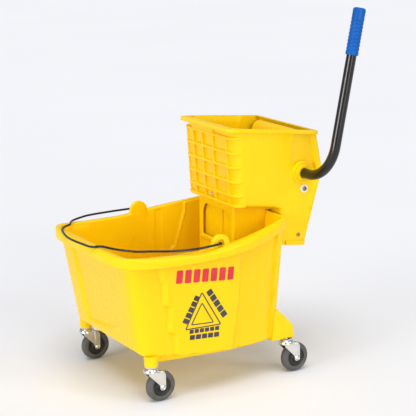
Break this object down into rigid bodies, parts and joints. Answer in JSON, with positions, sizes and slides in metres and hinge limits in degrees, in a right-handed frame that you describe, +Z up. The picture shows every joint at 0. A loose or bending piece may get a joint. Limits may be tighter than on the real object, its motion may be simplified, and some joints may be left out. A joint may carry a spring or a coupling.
{
  "type": "mop bucket with side press wringer",
  "caption": "Wheeled mop bucket with swivel casters, folding wire bail and a lift-off side-press wringer worked by a long lever.",
  "frame": {"origin": "on the floor, midway between the four caster stems", "axes": "+X towards the wringer end, -Y the lever side, +Z up"},
  "size_m": [0.6698, 0.4886, 0.9272],
  "materials": {
    "yellow_plastic": "satin moulded polypropylene",
    "press_plastic": "satin moulded polypropylene",
    "zinc_steel": "bright zinc plated",
    "dark_steel": "black powder coat",
    "wire_black": "black coated wire",
    "gear_plastic": "moulded nylon",
    "grip_blue": "matt vinyl",
    "nylon_white": "natural nylon",
    "wheel_black": "moulded polypropylene",
    "tyre_grey": "grey non-marking rubber",
    "spring_steel": "drawn spring wire"
  },
  "bodies": {
    "bucket_body": {"bucket": "yellow_plastic", "stem_sockets": "gear_plastic", "caster_stems": "zinc_steel", "thrust_washers": "nylon_white"},
    "caster_front_left": {"fork_front_left": "zinc_steel", "axle_bolt_front_left": "zinc_steel"},
    "wheel_front_left": {"wheel_core_front_left": "wheel_black", "wheel_bush_front_left": "zinc_steel", "tyre_front_left": "tyre_grey"},
    "caster_front_right": {"fork_front_right": "zinc_steel", "axle_bolt_front_right": "zinc_steel"},
    "wheel_front_right": {"wheel_core_front_right": "wheel_black", "wheel_bush_front_right": "zinc_steel", "tyre_front_right": "tyre_grey"},
    "caster_rear_left": {"fork_rear_left": "zinc_steel", "axle_bolt_rear_left": "zinc_steel"},
    "wheel_rear_left": {"wheel_core_rear_left": "wheel_black", "wheel_bush_rear_left": "zinc_steel", "tyre_rear_left": "tyre_grey"},
    "caster_rear_right": {"fork_rear_right": "zinc_steel", "axle_bolt_rear_right": "zinc_steel"},
    "wheel_rear_right": {"wheel_core_rear_right": "wheel_black", "wheel_bush_rear_right": "zinc_steel", "tyre_rear_right": "tyre_grey"},
    "bail_handle": {"bail": "wire_black"},
    "wringer": {"wringer_body": "yellow_plastic", "drain_strainer": "yellow_plastic", "strainer_screw": "zinc_steel", "lever_bushes": "yellow_plastic", "hinge_rod": "zinc_steel", "rod_screws": "zinc_steel", "return_springs": "spring_steel", "stop_bolts": "zinc_steel", "nylon_washers": "nylon_white"},
    "press": {"press_plate": "press_plastic", "sector_gears": "gear_plastic"},
    "lever": {"lever_tube": "dark_steel", "lever_grip": "grip_blue", "axle_cap": "gear_plastic", "pinions": "gear_plastic", "pinion_pins": "zinc_steel"}
  },
  "joints": [
    {"name": "swivel_front_left", "type": "hinge", "parent": "bucket_body", "child": "caster_front_left", "pos_m": [-0.197, -0.173, 0.085], "axis": [0, 0, 1], "continuous": true},
    {"name": "swivel_front_right", "type": "hinge", "parent": "bucket_body", "child": "caster_front_right", "pos_m": [-0.197, 0.173, 0.085], "axis": [0, 0, 1], "continuous": true},
    {"name": "swivel_rear_left", "type": "hinge", "parent": "bucket_body", "child": "caster_rear_left", "pos_m": [0.197, -0.173, 0.085], "axis": [0, 0, 1], "continuous": true},
    {"name": "swivel_rear_right", "type": "hinge", "parent": "bucket_body", "child": "caster_rear_right", "pos_m": [0.197, 0.173, 0.085], "axis": [0, 0, 1], "continuous": true},
    {"name": "roll_front_left", "type": "hinge", "parent": "caster_front_left", "child": "wheel_front_left", "pos_m": [-0.172, -0.173, 0.038], "axis": [0, 1, 0], "continuous": true},
    {"name": "roll_front_right", "type": "hinge", "parent": "caster_front_right", "child": "wheel_front_right", "pos_m": [-0.172, 0.173, 0.038], "axis": [0, 1, 0], "continuous": true},
    {"name": "roll_rear_left", "type": "hinge", "parent": "caster_rear_left", "child": "wheel_rear_left", "pos_m": [0.222, -0.173, 0.038], "axis": [0, 1, 0], "continuous": true},
    {"name": "roll_rear_right", "type": "hinge", "parent": "caster_rear_right", "child": "wheel_rear_right", "pos_m": [0.222, 0.173, 0.038], "axis": [0, 1, 0], "continuous": true},
    {"name": "bail_fold", "type": "hinge", "parent": "bucket_body", "child": "bail_handle", "pos_m": [-0.022, 0, 0.38], "axis": [0, 1, 0], "range_deg": [0, 100]},
    {"name": "wringer_lift", "type": "slide", "parent": "bucket_body", "child": "wringer", "axis": [0, 0, 1], "range_m": [0, 0.25]},
    {"name": "lever_pull", "type": "hinge", "parent": "wringer", "child": "lever", "pos_m": [0.266, 0, 0.507], "axis": [0, 1, 0], "range_deg": [0, 60], "stiffness_Nm_per_rad": 3, "springref_deg": -57.3},
    {"name": "press_swing", "type": "hinge", "parent": "wringer", "child": "press", "pos_m": [0.258, 0, 0.346], "axis": [0, 1, 0], "range_deg": [-20, 0]}
  ],
  "couplings": [
    {"joint": "press_swing", "follows": "lever_pull", "ratio": -0.33333}
  ]
}
